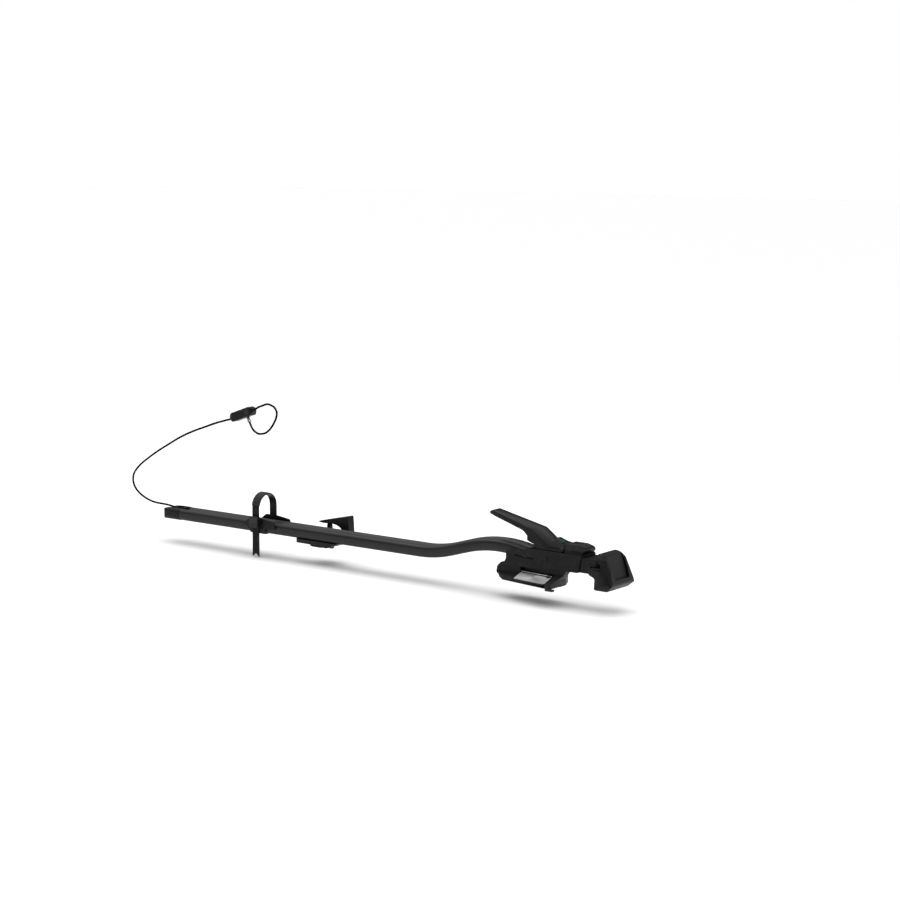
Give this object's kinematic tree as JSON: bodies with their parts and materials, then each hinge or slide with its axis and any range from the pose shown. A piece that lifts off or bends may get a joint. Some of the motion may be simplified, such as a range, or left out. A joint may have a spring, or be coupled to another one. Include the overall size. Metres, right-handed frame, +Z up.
{
  "type": "roof mounted bike carrier",
  "caption": "Fork-mount roof bike carrier: a long wheel tray with an axle clamp head and lever, a sliding rear foot, a wheel strap and a cable lock.",
  "frame": {"origin": "middle of the front foot's seat, on the plane of the top of the front crossbar", "axes": "+X along the tray towards the axle clamp, +Y towards the rear lever's side, +Z up from the crossbars"},
  "size_m": [1.5151, 0.1378, 0.3925],
  "materials": {
    "black_plastic": "satin, finely grained",
    "tray_metal": "black anodised",
    "rubber": "matt",
    "pad_rubber": "matt",
    "strap_plastic": "satin",
    "steel": "satin",
    "dark_steel": "blackened",
    "lever_metal": "brushed",
    "grey_plastic": "satin",
    "green_plastic": "glossy",
    "cable_vinyl": "semi-gloss"
  },
  "bodies": {
    "carrier": {"wheel_tray": "tray_metal", "tray_end_cap": "black_plastic", "cable_grommet": "rubber", "tray_socket": "black_plastic", "head_block": "black_plastic", "nose_cover": "black_plastic", "rear_jaw": "black_plastic", "rear_jaw_pad": "rubber", "front_foot": "black_plastic", "front_foot_pad": "rubber", "head_screws": "steel", "lever_pivot_pin": "dark_steel", "lock_cable_lead": "cable_vinyl", "lock_cable_loop": "cable_vinyl", "cable_lock_body": "black_plastic", "cable_plug": "steel"},
    "lever": {"clamp_lever": "black_plastic", "lever_catch": "black_plastic", "tension_indicator": "green_plastic"},
    "lever_core": {"lever_lock_core": "steel"},
    "jaw": {"front_jaw": "black_plastic", "jaw_liner": "rubber", "guide_rods": "steel", "draw_bar": "steel", "draw_yoke": "steel", "lever_drive_pin": "steel"},
    "front_cam": {"foot_lever_pin": "dark_steel", "front_t_bolt": "dark_steel"},
    "front_flip": {"foot_lever": "lever_metal"},
    "rear_foot": {"rear_foot": "black_plastic", "rear_foot_pad": "rubber", "rear_runner": "black_plastic"},
    "rear_cam": {"rear_lever_pin": "dark_steel", "rear_t_bolt": "black_plastic"},
    "rear_flip": {"rear_lever": "black_plastic"},
    "strap": {"strap_carriage": "black_plastic", "wheel_strap": "strap_plastic", "rim_pad": "pad_rubber", "buckle_body": "black_plastic", "buckle_pin": "dark_steel"},
    "buckle": {"buckle_tab": "grey_plastic"},
    "lock_core": {"cable_lock_core": "dark_steel"}
  },
  "joints": [
    {"name": "clamp_lever_hinge", "type": "hinge", "parent": "carrier", "child": "lever", "pos_m": [0.022, 0, 0.0885], "axis": [0, 1, 0], "range_deg": [0, 75]},
    {"name": "jaw_slide", "type": "slide", "parent": "carrier", "child": "jaw", "axis": [1, 0, 0], "range_m": [0, 0.014]},
    {"name": "lever_lock_turn", "type": "hinge", "parent": "lever", "child": "lever_core", "pos_m": [-0.079, 0, 0.1015], "axis": [1, 0, 0], "range_deg": [0, 90]},
    {"name": "front_cam_slide", "type": "slide", "parent": "carrier", "child": "front_cam", "axis": [0, 0, -1], "range_m": [0, 0.0025]},
    {"name": "foot_lever_hinge", "type": "hinge", "parent": "front_cam", "child": "front_flip", "pos_m": [-0.039, -0.031, 0.0215], "axis": [-0.9925, 0.1219, 0], "range_deg": [0, 80]},
    {"name": "rear_foot_slide", "type": "slide", "parent": "carrier", "child": "rear_foot", "axis": [1, 0, 0], "range_m": [-0.06, 0.2]},
    {"name": "rear_cam_slide", "type": "slide", "parent": "rear_foot", "child": "rear_cam", "axis": [0, 0, -1], "range_m": [0, 0.0025]},
    {"name": "rear_lever_hinge", "type": "hinge", "parent": "rear_cam", "child": "rear_flip", "pos_m": [-0.715, 0.045, 0.0575], "axis": [0, -1, 0], "range_deg": [0, 45]},
    {"name": "strap_slide", "type": "slide", "parent": "carrier", "child": "strap", "axis": [1, 0, 0], "range_m": [-0.2, 0.02]},
    {"name": "buckle_tab_hinge", "type": "hinge", "parent": "strap", "child": "buckle", "pos_m": [-0.891, -0.0376, 0.052], "axis": [-1, 0, 0], "range_deg": [0, 20], "stiffness_Nm_per_rad": 0.05},
    {"name": "cable_lock_turn", "type": "hinge", "parent": "carrier", "child": "lock_core", "pos_m": [-0.87529, -0.08, 0.32892], "axis": [0, -1, 0], "range_deg": [0, 90]}
  ],
  "couplings": [
    {"joint": "jaw_slide", "follows": "clamp_lever_hinge", "m_per_rad": 0.01069},
    {"joint": "foot_lever_hinge", "follows": "front_cam_slide", "rad_per_m": 558.5},
    {"joint": "rear_lever_hinge", "follows": "rear_cam_slide", "rad_per_m": 314.15}
  ]
}
